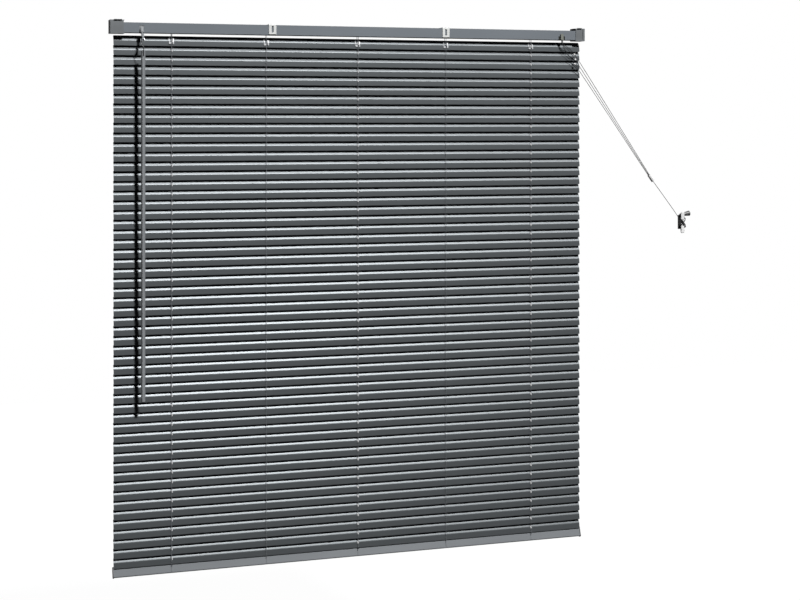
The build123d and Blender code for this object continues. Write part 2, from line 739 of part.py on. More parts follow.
# Lift cords: up through the slats, along the headrail's floor under the drums and out of the lock
lanes = {1: lift_y - cord_spacing, 2: lift_y + cord_spacing, 3: lift_y}
outlets = {1: lock_x - cord_spacing, 2: lock_x + cord_spacing, 3: lock_x}
outlet_y = rail_front - lock_nose_reach + lock_wall + seat_gap + cord / 2
outlet_z = rail_bottom - rail_gauge
cord_foot = section_point(-bottom_width / 2 + cord_end_inset, 0, bottom_centre)
for number, x in enumerate(lift_places, 1):
    lane = lanes[number]
    out_x = outlets[number]
    lane_change = [(x + cord_drift_start, lift_y, cord_z), (x + cord_drift_end, lane, cord_z)]
    lift_route = [
        (x, lift_y, cord_foot[1] - cord_tail),
        (x, lift_y, cord_z),
        *(lane_change if lane != lift_y else []),
        (out_x, lane, cord_z),
        (out_x, outlet_y, cord_z),
        (out_x, outlet_y, outlet_z),
    ]
    cord_tube(f"lift_cord_{number}", lift_route, largest=cord_rail_bend)

# Cord lock: moulded body in the headrail with a nose through the notch in its face
throat = (lock_x - lock_throat / 2, lock_x + lock_throat / 2)
roller_y = rail_front + roller_setback
roller_z = cord_z + cord / 2 + seat_gap + roller_radius
with BuildPart() as lock_body:
    lock_y = (rail_y - rail_inner / 2 + gate_play, rail_y + rail_inner / 2 - gate_play)
    block((lock_x - half_lock, lock_x + half_lock), lock_y, (rail_floor, lock_top))
    fillet(lock_body.edges().filter_by(Axis.Z), moulding_round)
    nose = (lock_x - lock_nose_width / 2, lock_x + lock_nose_width / 2)
    nose_front = rail_front - lock_nose_reach
    block(nose, (nose_front, lock_y[0] + 2), (rail_floor, lock_notch_top - gate_play))
    block(nose, (nose_front, rail_front - gate_play), (rail_floor, lock_nose_top))
    fillet(lock_body.edges().filter_by(Axis.Z).group_by(Axis.Y)[0], moulding_round / 2)
    channel_y = (lift_y - cord_spacing - cord, lift_y + cord_spacing + cord)
    block((lock_x - half_lock - 1, throat[1]), channel_y, (rail_floor - 1, channel_top), mode=Mode.SUBTRACT)
    block(throat, (nose_front + lock_wall, channel_y[1]), (rail_floor - 1, channel_top), mode=Mode.SUBTRACT)
    pocket_half = roller_length / 2 + gate_play
    block(
        (lock_x - pocket_half, lock_x + pocket_half),
        (roller_y - roller_radius - gate_play, roller_y + roller_radius + gate_play),
        (channel_top - 0.2, roller_z + roller_radius + roller_lift + gate_play),
        mode=Mode.SUBTRACT,
    )
finish(lock_body.part, "cord_lock_body")

with BuildPart() as lock_roller:
    with BuildSketch(Plane.YZ.offset(lock_x - roller_length / 2)):
        with Locations((roller_y, roller_z)):
            Circle(roller_radius)
    extrude(amount=roller_length)
    chamfer(lock_roller.faces().filter_by(Axis.X).edges(), roller_chamfer)
finish(lock_roller.part, "cord_lock_roller")

# Bottom rail: rolled steel tube, tilted as the slats are, pierced for the cords and the plugs
half_bottom_length = slat_length / 2 - bottom_cap + bottom_overhang
with BuildPart() as bottom_rail:
    with BuildSketch(section_plane(bottom_centre, -half_bottom_length)):
        RectangleRounded(bottom_width, bottom_thickness, bottom_round)
        bore_width = bottom_width - 2 * bottom_wall
        bore_thickness = bottom_thickness - 2 * bottom_wall
        RectangleRounded(bore_width, bore_thickness, bottom_round - bottom_wall, mode=Mode.SUBTRACT)
    extrude(amount=2 * half_bottom_length)
    with BuildSketch(face_plane(bottom_centre)):
        with Locations(*[(x, 0) for x in ladder_places]):
            Circle(plug_stem_radius + running_gap)
    extrude(amount=-bottom_thickness, mode=Mode.SUBTRACT)
    with BuildSketch(Plane.XY.offset(bottom_z)):
        with Locations(*[(x, lift_y) for x in lift_places]):
            Circle(cord / 2 + 2 * seat_gap)
    extrude(amount=bottom_width, mode=Mode.SUBTRACT)
finish(bottom_rail.part, "bottom_rail")

# End caps of the bottom rail
with BuildPart() as bottom_rail_cap:
    with BuildSketch(section_plane(bottom_centre, -half_bottom_length)):
        rim = 2 * bottom_cap_rim
        RectangleRounded(bottom_width + rim, bottom_thickness + rim, bottom_round + bottom_cap_rim)
    extrude(amount=-bottom_cap)
    with BuildSketch(section_plane(bottom_centre, -half_bottom_length)):
        play = 2 * gate_play
        RectangleRounded(bore_width - play, bore_thickness - play, bottom_round - bottom_wall - gate_play)
    extrude(amount=bottom_cap_plug)
finish(bottom_rail_cap.part, "bottom_rail_cap_left")
finish(mirrored(bottom_rail_cap.part), "bottom_rail_cap_right")

# Plugs under the bottom rail, over the ends of the ladders and cords
with BuildPart() as plug:
    with BuildSketch(face_plane(section_point(0, -half_bottom, bottom_centre))):
        Circle(plug_radius)
    extrude(amount=-plug_head)
    with BuildSketch(face_plane(section_point(0, -half_bottom, bottom_centre))):
        Circle(plug_stem_radius)
    extrude(amount=plug_stem_length)
    fillet(plug.faces().sort_by(Axis.Y)[-1].edges(), plug_round)
for number, x in enumerate(ladder_places, 1):
    finish(placed(plug.part, (x, 0, 0)), f"bottom_plug_{number}")

# Cord connector: a bell that joins the three pull cords to one
connector_top = Vector(786.0, -22.0, -359.5)
single_end = Vector(876.4, -17.0, -470.6)
connector_axis = (single_end - connector_top).normalized()
connector_end = connector_top + connector_axis * connector_length
with BuildPart() as cord_connector:
    with BuildSketch(Plane(origin=connector_top, z_dir=connector_axis)):
        Circle(connector_radius)
    extrude(amount=connector_length, taper=-2)
    with BuildSketch(Plane(origin=connector_top, z_dir=connector_axis)):
        Circle(connector_mouth)
    extrude(amount=mouth_depth, mode=Mode.SUBTRACT)
    with BuildSketch(Plane(origin=connector_end, z_dir=connector_axis)):
        Circle(cord / 2 + seat_gap)
    extrude(amount=-mouth_depth, mode=Mode.SUBTRACT)
finish(cord_connector.part, "cord_connector")

# Pull cords: from the lock's nose across the end of the slats to the connector
meet = connector_top + connector_axis * mouth_entry
across = Vector(connector_axis.Z, 0, -connector_axis.X).normalized()
pull_routes = {
    1: [(lock_x - 1.7, outlet_y, -28.0), (lock_x + 35.5, -29.5, -72.0)],
    2: [
        (lock_x + 1.7, outlet_y, -24.5),
        (lock_x + 18.5, -30.5, -33.0),
        (lock_x + 31.5, -29.5, -46.0),
        (lock_x + 51.0, -28.5, -69.5),
    ],
    3: [
        (lock_x, outlet_y, -26.5),
        (lock_x + 13.5, -31.5, -34.5),
        (lock_x + 28.0, -30.5, -50.0),
        (lock_x + 50.0, -29.0, -81.5),
    ],
}
meet_shift = {1: 1.7, 2: -1.7, 3: 0.0}
pull_paths = {}
for number, middle in pull_routes.items():
    start = (outlets[number], outlet_y, outlet_z)
    end = meet + across * meet_shift[number]
    pull_paths[number] = cord_tube(f"pull_cord_{number}", [start, *middle, (end.X, end.Y, end.Z)])

# Beads on the pull cords, at the slats' edge
with BuildPart() as cord_beads:
    for number, along in bead_places.items():
        place = pull_paths[number].position_at(along, PositionMode.LENGTH)
        bead_axis = pull_paths[number].tangent_at(along, PositionMode.LENGTH)
        with BuildSketch(Plane(origin=place, z_dir=bead_axis)):
            Circle(bead_radius)
            Circle(cord / 2 + gate_play, mode=Mode.SUBTRACT)
        extrude(amount=bead_length / 2, both=True)
finish(cord_beads.part, "cord_beads")

# Cleat: a block with two horns, screwed to the wall
with BuildPart() as cord_cleat:
    with BuildSketch(Plane.YZ.offset(cleat_x - cleat_width / 2)) as cleat_side:
        with Locations((-cleat_base / 2, cleat_z)):
            Rectangle(cleat_base, cleat_base_length)
        with Locations((-cleat_depth / 2, cleat_z)):
            Rectangle(cleat_depth, cleat_neck_length)
        with BuildLine():
            Polyline(
                (-cleat_horn_back, cleat_z - cleat_neck_length / 2),
                (-cleat_depth + cleat_tip, cleat_z - cleat_length / 2),
                (-cleat_depth, cleat_z - cleat_length / 2),
                (-cleat_depth, cleat_z + cleat_length / 2),
                (-cleat_depth + cleat_tip, cleat_z + cleat_length / 2),
                (-cleat_horn_back, cleat_z + cleat_neck_length / 2),
                close=True,
            )
        make_face()
        tips = cleat_side.vertices().group_by(Axis.Y)
        fillet(tips[0] + tips[-1], cleat_tip_round)
    extrude(amount=cleat_width)
    fillet(cord_cleat.faces().sort_by(Axis.Y)[0].edges().filter_by(Axis.Z), cleat_edge_round)
    with BuildSketch(Plane.XZ.offset(cleat_depth)):
        with Locations(*[(cleat_x, cleat_z + side * cleat_screw_spacing / 2) for side in (-1, 1)]):
            Circle(cleat_screw_radius)
    extrude(amount=-cleat_depth, mode=Mode.SUBTRACT)
finish(cord_cleat.part, "cord_cleat")

# Winding: the outer shape of the cord's figure of eight round the cleat
with BuildPart() as cord_winding:
    with BuildSketch(Plane.XZ.offset(cleat_base + seat_gap)):
        with BuildLine():
            Polyline(
                (cleat_x - winding_width / 2, cleat_z - winding_height / 2),
                (cleat_x - winding_waist / 2, cleat_z),
                (cleat_x - winding_width / 2, cleat_z + winding_height / 2),
                (cleat_x + winding_width / 2, cleat_z + winding_height / 2),
                (cleat_x + winding_waist / 2, cleat_z),
                (cleat_x + winding_width / 2, cleat_z - winding_height / 2),
                close=True,
            )
        make_face()
    extrude(amount=cleat_depth + winding_cover - cleat_base - seat_gap)
    with BuildSketch(Plane.YZ.offset(cleat_x)) as cleat_room:
        add(cleat_side.sketch_local)
        offset(amount=seat_gap)
    extrude(amount=cleat_width / 2 + seat_gap, both=True, mode=Mode.SUBTRACT)
finish(cord_winding.part, "cord_winding")

# Single cord from the connector to the winding
single_start = connector_end - connector_axis * mouth_entry
winding_side = cleat_x - winding_width / 2 - seat_gap
single_points = [
    (single_start.X, single_start.Y, single_start.Z),
    (871.5, -17.3, -464.4),
    (winding_side, -15.0, -476.5),
]
cord_tube("operating_cord", single_points)

# Tassel: a cone tucked behind the upper horn
tassel_plane = Plane(
    origin=(
        cleat_x - tassel_start,
        -tassel_from_wall,
        cleat_z + winding_height / 2 + seat_gap + tassel_small,
    ),
    z_dir=(tassel_length, 0, tassel_large - tassel_small),
)
with BuildPart() as tassel:
    with BuildSketch(tassel_plane):
        Circle(tassel_small)
    with BuildSketch(tassel_plane.offset(tassel_length)):
        Circle(tassel_large)
    loft()
    fillet(tassel.edges().sort_by(Axis.X)[-1], tassel_round)
    with BuildSketch(tassel_plane):
        Circle(cord / 2 + gate_play)
    extrude(amount=mouth_depth, mode=Mode.SUBTRACT)
finish(tassel.part, "tassel")
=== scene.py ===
import random
from math import cos, pi, radians, sin, sqrt

import bpy
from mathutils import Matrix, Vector


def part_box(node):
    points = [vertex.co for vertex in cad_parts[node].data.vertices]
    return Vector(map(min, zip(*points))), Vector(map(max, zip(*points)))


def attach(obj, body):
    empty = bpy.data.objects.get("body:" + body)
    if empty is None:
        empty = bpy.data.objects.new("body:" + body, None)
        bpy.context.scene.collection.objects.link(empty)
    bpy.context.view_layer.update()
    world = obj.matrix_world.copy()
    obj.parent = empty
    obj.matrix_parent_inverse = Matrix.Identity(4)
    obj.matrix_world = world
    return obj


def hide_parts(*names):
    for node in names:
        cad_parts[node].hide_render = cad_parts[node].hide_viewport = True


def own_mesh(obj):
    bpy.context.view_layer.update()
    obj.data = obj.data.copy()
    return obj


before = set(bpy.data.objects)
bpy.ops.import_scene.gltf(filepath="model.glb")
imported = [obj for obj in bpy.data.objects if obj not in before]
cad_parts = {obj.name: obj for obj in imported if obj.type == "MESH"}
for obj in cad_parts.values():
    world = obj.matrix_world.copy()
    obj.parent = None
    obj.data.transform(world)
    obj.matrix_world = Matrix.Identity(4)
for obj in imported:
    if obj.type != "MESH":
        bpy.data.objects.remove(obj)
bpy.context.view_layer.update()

# Looks of the aluminium venetian blind. Metres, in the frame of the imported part:
# X along the headrail, the room towards -Y, Z up.
random.seed(7)

# Sizes that the source of the part gives, in metres
SLAT_COUNT = 55
SLAT_PITCH = 0.0225
SLAT_LENGTH = 1.182
SLAT_WIDTH = 0.025
SLAT_GAUGE = 0.00021
SLAT_CROWN = 0.002
SLAT_CORNER = 0.0025
SLAT_TILT = radians(70)
TOP_SLAT_Z = -0.0313
RAIL_Y = -0.017
LADDERS = (-0.456, -0.228, 0.0, 0.228, 0.456)
LIFT_LADDERS = (0, 2, 4)
LIFT_OFFSET = 0.00145
HOLE_LENGTH = 0.003
HOLE_WIDTH = 0.0068
HOLE_CORNER = 0.0012
CORD = 0.0014
STRING = 0.0009
BOTTOM_Z = -1.268
BOTTOM_WIDTH = 0.0235
BOTTOM_THICKNESS = 0.009
RAIL_SHEET = 0.0006
SEAT_GAP = 0.0003

rail_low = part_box("headrail")[0]
lift_places = [LADDERS[index] + LIFT_OFFSET for index in LIFT_LADDERS]


# Materials

def new_material(name, colour, roughness, metallic=0.0, specular=0.5, coat=0.0):
    """A material with constant values on the shader's own sockets."""
    material = bpy.data.materials.new(name)
    material.use_nodes = True
    shader = material.node_tree.nodes["Principled BSDF"]
    shader.inputs["Base Color"].default_value = (*colour, 1)
    shader.inputs["Roughness"].default_value = roughness
    shader.inputs["Metallic"].default_value = metallic
    shader.inputs["Specular IOR Level"].default_value = specular
    shader.inputs["Coat Weight"].default_value = coat
    return material, material.node_tree, shader


def placed_noise(tree, scale, stretch=(1, 1, 1), detail=3.0):
    """Noise in the object's own coordinates, stretched along its axes."""
    place = tree.nodes.new("ShaderNodeTexCoord")
    mapping = tree.nodes.new("ShaderNodeMapping")
    mapping.inputs["Scale"].default_value = stretch
    noise = tree.nodes.new("ShaderNodeTexNoise")
    noise.inputs["Scale"].default_value = scale
    noise.inputs["Detail"].default_value = detail
    tree.links.new(place.outputs["Object"], mapping.inputs["Vector"])
    tree.links.new(mapping.outputs["Vector"], noise.inputs["Vector"])
    return noise


def vary_colour(tree, shader, noise, dark, light):
    """Colour between two tones, by the noise."""
    ramp = tree.nodes.new("ShaderNodeValToRGB")
    ramp.color_ramp.elements[0].position = 0.3
    ramp.color_ramp.elements[0].color = (*dark, 1)
    ramp.color_ramp.elements[1].position = 0.7
    ramp.color_ramp.elements[1].color = (*light, 1)
    tree.links.new(noise.outputs["Fac"], ramp.inputs["Fac"])
    tree.links.new(ramp.outputs["Color"], shader.inputs["Base Color"])


def vary_roughness(tree, shader, noise, low, high):
    """Roughness between two values, by the noise."""
    spread = tree.nodes.new("ShaderNodeMapRange")
    spread.inputs["To Min"].default_value = low
    spread.inputs["To Max"].default_value = high
    tree.links.new(noise.outputs["Fac"], spread.inputs["Value"])
    tree.links.new(spread.outputs["Result"], shader.inputs["Roughness"])


def add_bump(tree, shader, height, strength, distance):
    """Bump from a height output."""
    bump = tree.nodes.new("ShaderNodeBump")
    bump.inputs["Strength"].default_value = strength
    bump.inputs["Distance"].default_value = distance
    tree.links.new(height, bump.inputs["Height"])
    tree.links.new(bump.outputs["Normal"], shader.inputs["Normal"])


def tone(colour, factor):
    """The colour, darker or lighter."""
    return tuple(min(1.0, channel * factor) for channel in colour)


def painted(name, colour, roughness=0.4, specular=0.5, grain=900, relief=0.12, spread=0.06):
    """Enamel on sheet metal: fine orange peel and a faint drift of tone along the sheet."""
    material, tree, shader = new_material(name, colour, roughness, 0.0, specular)
    drift = placed_noise(tree, 14, (0.25, 1, 1))
    vary_colour(tree, shader, drift, tone(colour, 1 - spread), tone(colour, 1 + spread))
    peel = placed_noise(tree, grain, (1, 1, 1), 2.0)
    vary_roughness(tree, shader, peel, roughness * 0.9, roughness * 1.1)
    if relief:
        add_bump(tree, shader, peel.outputs["Fac"], relief, 0.0002)
    return material


def moulded(name, colour, roughness=0.45, coat=0.0):
    """Injection-moulded plastic: a fine spark-eroded grain and slight flow marks."""
    material, tree, shader = new_material(name, colour, roughness, 0.0, 0.5, coat)
    flow = placed_noise(tree, 60, (1, 1, 0.4))
    vary_colour(tree, shader, flow, tone(colour, 0.92), tone(colour, 1.06))
    grain = placed_noise(tree, 2600, (1, 1, 1), 1.0)
    vary_roughness(tree, shader, grain, roughness * 0.85, roughness * 1.2)
    add_bump(tree, shader, grain.outputs["Fac"], 0.15, 0.0001)
    return material


def painted_shade_behind(material, edge, factor):
    """Painted shade: the colour times a factor wherever the object's own Y is past an edge."""
    tree = material.node_tree
    socket = tree.nodes["Principled BSDF"].inputs["Base Color"]
    place = tree.nodes.new("ShaderNodeTexCoord")
    parts = tree.nodes.new("ShaderNodeSeparateXYZ")
    past = tree.nodes.new("ShaderNodeMapRange")
    past.inputs["From Min"].default_value = edge - 0.0002
    past.inputs["From Max"].default_value = edge + 0.0002
    past.inputs["To Min"].default_value = 1.0
    past.inputs["To Max"].default_value = factor
    shade = tree.nodes.new("ShaderNodeVectorMath")
    shade.operation = "SCALE"
    tree.links.new(socket.links[0].from_socket, shade.inputs[0])
    tree.links.new(place.outputs["Object"], parts.inputs["Vector"])
    tree.links.new(parts.outputs["Y"], past.inputs["Value"])
    tree.links.new(past.outputs["Result"], shade.inputs["Scale"])
    tree.links.new(shade.outputs["Vector"], socket)


def brushed(name, colour, roughness, stretch):
    """Bare metal with drawing marks along its length."""
    material, tree, shader = new_material(name, colour, roughness, 1.0)
    marks = placed_noise(tree, 1500, stretch, 2.0)
    vary_colour(tree, shader, marks, tone(colour, 0.85), tone(colour, 1.08))
    vary_roughness(tree, shader, marks, roughness * 0.8, roughness * 1.3)
    add_bump(tree, shader, marks.outputs["Fac"], 0.1, 0.0001)
    return material


def braided(name, colour, pitch=0.0016, sheen=0.1):
    """Braided polyester: crossed diagonal strands as bands that run both ways round the cord, with painted
    shade in the grooves between them.
    """
    material, tree, shader = new_material(name, colour, 0.75, 0.0, 0.3)
    shader.inputs["Sheen Weight"].default_value = sheen
    place = tree.nodes.new("ShaderNodeTexCoord")
    heights = []
    for lean in (1.0, -1.0):
        mapping = tree.nodes.new("ShaderNodeMapping")
        mapping.inputs["Rotation"].default_value = (lean * 0.6, 0.0, lean * 0.7)
        wave = tree.nodes.new("ShaderNodeTexWave")
        wave.bands_direction = "Z"
        wave.inputs["Scale"].default_value = 1 / pitch / 3
        tree.links.new(place.outputs["Object"], mapping.inputs["Vector"])
        tree.links.new(mapping.outputs["Vector"], wave.inputs["Vector"])
        heights.append(wave.outputs["Fac"])
    both = tree.nodes.new("ShaderNodeMath")
    both.operation = "MULTIPLY"
    tree.links.new(heights[0], both.inputs[0])
    tree.links.new(heights[1], both.inputs[1])
    # Painted shade: the colour is darker where the strands' height is low, in the grooves between them, and
    # lighter on their crowns
    ramp = tree.nodes.new("ShaderNodeValToRGB")
    ramp.color_ramp.elements[0].color = (*tone(colour, 0.6), 1)
    ramp.color_ramp.elements[1].color = (*tone(colour, 1.25), 1)
    tree.links.new(both.outputs["Value"], ramp.inputs["Fac"])
    tree.links.new(ramp.outputs["Color"], shader.inputs["Base Color"])
    add_bump(tree, shader, both.outputs["Value"], 0.6, 0.0003)
    return material


enamel = painted("slat_enamel", (0.063, 0.069, 0.073), 0.38, 0.66, 400, 0.0, 0.03)
enamel_shader = enamel.node_tree.nodes["Principled BSDF"]
enamel_shader.inputs["Specular Tint"].default_value = (0.90, 0.96, 1.0, 1)
enamel_shader.inputs["Anisotropic"].default_value = 0.5
enamel_shader.inputs["Anisotropic Rotation"].default_value = 0.25
rolled = enamel.node_tree.nodes.new("ShaderNodeTangent")
rolled.direction_type = "RADIAL"
rolled.axis = "X"
enamel.node_tree.links.new(rolled.outputs["Tangent"], enamel_shader.inputs["Tangent"])
rail_paint = painted("rail_paint", (0.160, 0.178, 0.198), 0.42)
bracket_paint = painted("bracket_paint", (0.155, 0.165, 0.172), 0.40, spread=0.15)
bottom_paint = painted("bottom_paint", (0.182, 0.193, 0.204), 0.5, 0.1)
white_paint = painted("white_paint", (0.66, 0.67, 0.66), 0.38)
cap_plastic = moulded("cap_plastic", (0.120, 0.120, 0.125))
plug_plastic = moulded("plug_plastic", (0.110, 0.110, 0.115))
white_plastic = moulded("white_plastic", (0.80, 0.80, 0.80), 0.35)
clip_plastic = moulded("clip_plastic", (0.42, 0.43, 0.44), 0.35)
connector_plastic = moulded("connector_plastic", (0.64, 0.64, 0.64), 0.35)
drum_plastic = moulded("drum_plastic", (0.72, 0.72, 0.70))
tilter_plastic = moulded("tilter_plastic", (0.24, 0.25, 0.26))
stem_plastic = moulded("stem_plastic", (0.22, 0.23, 0.24), 0.35)
wand_plastic = moulded("wand_plastic", (0.235, 0.247, 0.258), 0.3, 0.3)
cleat_plastic = moulded("cleat_plastic", (0.78, 0.78, 0.78), 0.35)
lock_plastic = moulded("lock_plastic", (0.20, 0.21, 0.185), 0.4)
tassel_plastic = moulded("tassel_plastic", (0.10, 0.10, 0.10), 0.4)
steel = brushed("plated_steel", (0.66, 0.67, 0.68), 0.25, (0.1, 1, 1))
wire_steel = brushed("wire_steel", (0.80, 0.81, 0.82), 0.18, (1, 1, 0.1))
brass = brushed("brass", (0.72, 0.54, 0.24), 0.28, (0.2, 1, 1))
string_braid = braided("string_braid", (0.22, 0.23, 0.25), 0.0010)
lift_braid = braided("lift_braid", (0.16, 0.165, 0.175))
cord_braid = braided("cord_braid", (0.020, 0.021, 0.023), sheen=0.0)


# Geometry helpers

def mesh_piece(name, verts, faces, material, body="root", sharp=35.0):
    """A mesh piece, shaded smooth apart from its sharp edges, riding on a body."""
    mesh = bpy.data.meshes.new(name)
    mesh.from_pydata([tuple(v) for v in verts], [], faces)
    mesh.validate()
    mesh.update()
    for polygon in mesh.polygons:
        polygon.use_smooth = True
    mesh.set_sharp_from_angle(angle=radians(sharp))
    piece = bpy.data.objects.new(name, mesh)
    bpy.context.scene.collection.objects.link(piece)
    mesh.materials.append(material)
    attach(piece, body)
    return piece


def frame_along(direction):
    """Two unit vectors across a direction."""
    direction = Vector(direction).normalized()
    helper = Vector((1, 0, 0)) if abs(direction.x) < 0.9 else Vector((0, 0, 1))
    across = direction.cross(helper).normalized()
    return across, direction.cross(across).normalized()


def tube(verts, faces, points, radius, sides=8):
    """Adds a round tube through the points, closed at both ends."""
    points = [Vector(p) for p in points]
    start = len(verts)
    for index, point in enumerate(points):
        ahead = points[min(index + 1, len(points) - 1)] - points[max(index - 1, 0)]
        across, up = frame_along(ahead)
        for side in range(sides):
            angle = 2 * pi * side / sides
            verts.append(point + radius * (cos(angle) * across + sin(angle) * up))
    for index in range(len(points) - 1):
        ring = start + index * sides
        for side in range(sides):
            after = (side + 1) % sides
            faces.append((ring + side, ring + after, ring + sides + after, ring + sides + side))
    faces.append(tuple(range(start + sides - 1, start - 1, -1)))
    last = start + (len(points) - 1) * sides
    faces.append(tuple(range(last, last + sides)))


def section_point(along, out, y, z):
    """Point of the tilted section: along towards the room edge, out from the crown."""
    return (
        y - along * cos(SLAT_TILT) - out * sin(SLAT_TILT),
        z - along * sin(SLAT_TILT) + out * cos(SLAT_TILT),
    )


# Slats: the highlight calls for two nearly flat wings with a rounded bend between them. The ends
# and the crown are the source's, and the face lies up to 0.44 mm from the source's arc.

wing_slope = 0.173
crown_round = ((wing_slope * SLAT_WIDTH / 2) ** 2 - SLAT_CROWN**2) / (2 * SLAT_CROWN)
hole_half = HOLE_WIDTH / 2


def slat_lines():
    """Lines across the slat, close together at the holes' round corners and at the slat's."""
    half = SLAT_WIDTH / 2
    inner = [0.0, 0.0007, 0.0014] + [hole_half - HOLE_CORNER * (1 - share) for share in (0.0, 0.5, 0.866, 1.0)]
    outer = [0.0053, 0.0078, half - SLAT_CORNER]
    outer += [half - SLAT_CORNER * (1 - share) for share in (0.5, 0.866, 1.0)]
    lines = inner + outer
    return [-v for v in reversed(lines[1:])] + lines


def end_inset(v):
    """How far the rounded corner draws the slat's end in, on a line across."""
    over = abs(v) - (SLAT_WIDTH / 2 - SLAT_CORNER)
    if over <= 0:
        return 0.0
    return SLAT_CORNER - sqrt(max(SLAT_CORNER**2 - over**2, 0.0))


def slat_point(x, v, level, depth):
    """Point of the tilted slat, depth below its face: rounded in the middle, with nearly flat wings."""
    out = SLAT_CROWN + crown_round - sqrt((wing_slope * v) ** 2 + crown_round**2) - depth
    y, z = section_point(v, out, RAIL_Y, level)
    return x, y, z


def add_slat(verts, faces, level, stretch, shift):
    """Adds one slat: two arched faces with route holes, and their rims."""
    lines = slat_lines()
    rows = []
    for depth in (0.0, SLAT_GAUGE):
        side_rows = []
        for v in lines:
            inset = end_inset(v)
            half = SLAT_LENGTH / 2 * stretch - inset
            stations = [-half + shift]
            if abs(v) <= hole_half + 1e-9:
                over = max(abs(v) - (hole_half - HOLE_CORNER), 0.0)
                reach = HOLE_LENGTH / 2 - HOLE_CORNER + sqrt(max(HOLE_CORNER**2 - over**2, 0.0))
                for place in lift_places:
                    stations += [place - reach, place + reach]
            stations.append(half + shift)
            row = []
            for x in stations:
                row.append(len(verts))
                verts.append(slat_point(x, v, level, depth))
            side_rows.append(row)
        rows.append(side_rows)
    for side, side_rows in enumerate(rows):
        for low, high in zip(side_rows, side_rows[1:]):
            if len(low) == len(high) > 2:
                pairs = [(low[i], low[i + 1], high[i + 1], high[i]) for i in range(0, len(low), 2)]
            else:
                pairs = [(*low, *reversed(high))]
            for quad in pairs:
                faces.append(tuple(quad) if side == 0 else tuple(reversed(quad)))
    crown_rows, under_rows = rows
    for index in range(len(lines) - 1):
        for column, flip in ((0, True), (-1, False)):
            quad = (
                crown_rows[index][column],
                crown_rows[index + 1][column],
                under_rows[index + 1][column],
                under_rows[index][column],
            )
            faces.append(tuple(reversed(quad)) if flip else quad)
        wide = len(crown_rows[index]) == len(crown_rows[index + 1]) > 2
        if wide:
            for column in range(1, len(crown_rows[index]) - 1):
                quad = (
                    crown_rows[index][column],
                    crown_rows[index + 1][column],
                    under_rows[index + 1][column],
                    under_rows[index][column],
                )
                faces.append(quad if column % 2 else tuple(reversed(quad)))
    for row, flip in ((0, False), (-1, True)):
        quad = (crown_rows[row][0], crown_rows[row][-1], under_rows[row][-1], under_rows[row][0])
        faces.append(tuple(reversed(quad)) if flip else quad)
    for index, v in enumerate(lines):
        if abs(abs(v) - hole_half) < 1e-9:
            row_top, row_under = crown_rows[index], under_rows[index]
            for column in range(1, len(row_top) - 1, 2):
                quad = (row_top[column], row_top[column + 1], row_under[column + 1], row_under[column])
                faces.append(quad if v > 0 else tuple(reversed(quad)))


slat_verts, slat_faces = [], []
for number in range(SLAT_COUNT):
    level = TOP_SLAT_Z - number * SLAT_PITCH
    add_slat(slat_verts, slat_faces, level, 1.0 - random.uniform(0, 0.0004), random.uniform(-0.0003, 0.0003))
slat_stack = mesh_piece("slat_stack", slat_verts, slat_faces, enamel)
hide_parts("slats")

# Ladders: two round strings, two crossed rungs under each slat, the spread to the drum and the tail.
# The tails ride on the bottom rail's body, the rest on the root.
STRING_GAP = 0.00035
SPREAD_DROP = 0.0035
RUNG_RADIUS = 0.0002
RUNG_CROSSING = 0.00022
half_slat = SLAT_WIDTH / 2
string_reach = half_slat * cos(SLAT_TILT) + SLAT_GAUGE + STRING_GAP + STRING / 2
front_y, back_y = RAIL_Y - string_reach, RAIL_Y + string_reach
spread_z = rail_low.z - SPREAD_DROP
rod_z = -0.003
drum_reach = 0.008175
wrap_out = BOTTOM_THICKNESS / 2 + SEAT_GAP + STRING / 2
wrap_start = (string_reach - wrap_out * sin(SLAT_TILT)) / cos(SLAT_TILT)
front_end = section_point(wrap_start, wrap_out, RAIL_Y, BOTTOM_Z)
front_tip = section_point(BOTTOM_WIDTH / 2 - 0.0024, wrap_out, RAIL_Y, BOTTOM_Z)
back_end_z = section_point(-BOTTOM_WIDTH / 2, 0, RAIL_Y, BOTTOM_Z)[1] + 0.0015
rung_out = -SLAT_GAUGE - SEAT_GAP - STRING / 2
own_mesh(slat_stack)


def waver(x, y, top, bottom, step=SLAT_PITCH, amount=0.00012):
    """Points down a hanging string, with the slight waver that its knots give it."""
    points = [(x, y, top)]
    count = int((top - bottom) / step)
    for index in range(1, count):
        z = top - index * (top - bottom) / count
        points.append((x + random.uniform(-amount, amount), y + random.uniform(-amount, amount), z))
    points.append((x, y, bottom))
    return points


